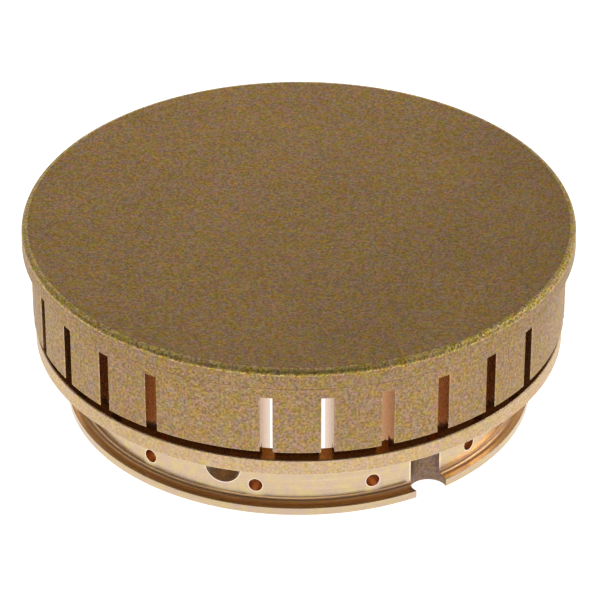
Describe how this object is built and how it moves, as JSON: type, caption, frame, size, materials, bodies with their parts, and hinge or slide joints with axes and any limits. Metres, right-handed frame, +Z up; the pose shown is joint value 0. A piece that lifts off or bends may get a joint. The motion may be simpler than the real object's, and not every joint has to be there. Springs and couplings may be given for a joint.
{
  "type": "gas burner head",
  "caption": "Round brass burner head for a gas range: a flat cap with a deep slotted skirt stands loose in the mouth of a flanged ring with a turned neck, gas ports and a locating notch.",
  "frame": {"origin": "centre of the ring's bottom face, on the burner's axis", "axes": "+Z up along the burner's axis; the pilot port and one blank land of the cap face -Y"},
  "size_m": [0.12, 0.12, 0.0426],
  "materials": {
    "cap_brass": "blasted casting, milled slots",
    "ring_brass": "blasted flange, turned neck"
  },
  "bodies": {
    "ring": {"burner_ring": "ring_brass"},
    "cap": {"burner_cap": "cap_brass"}
  },
  "joints": [
    {"name": "cap_lift", "type": "slide", "parent": "ring", "child": "cap", "axis": [0, 0, 1], "range_m": [0, 0.04]}
  ]
}
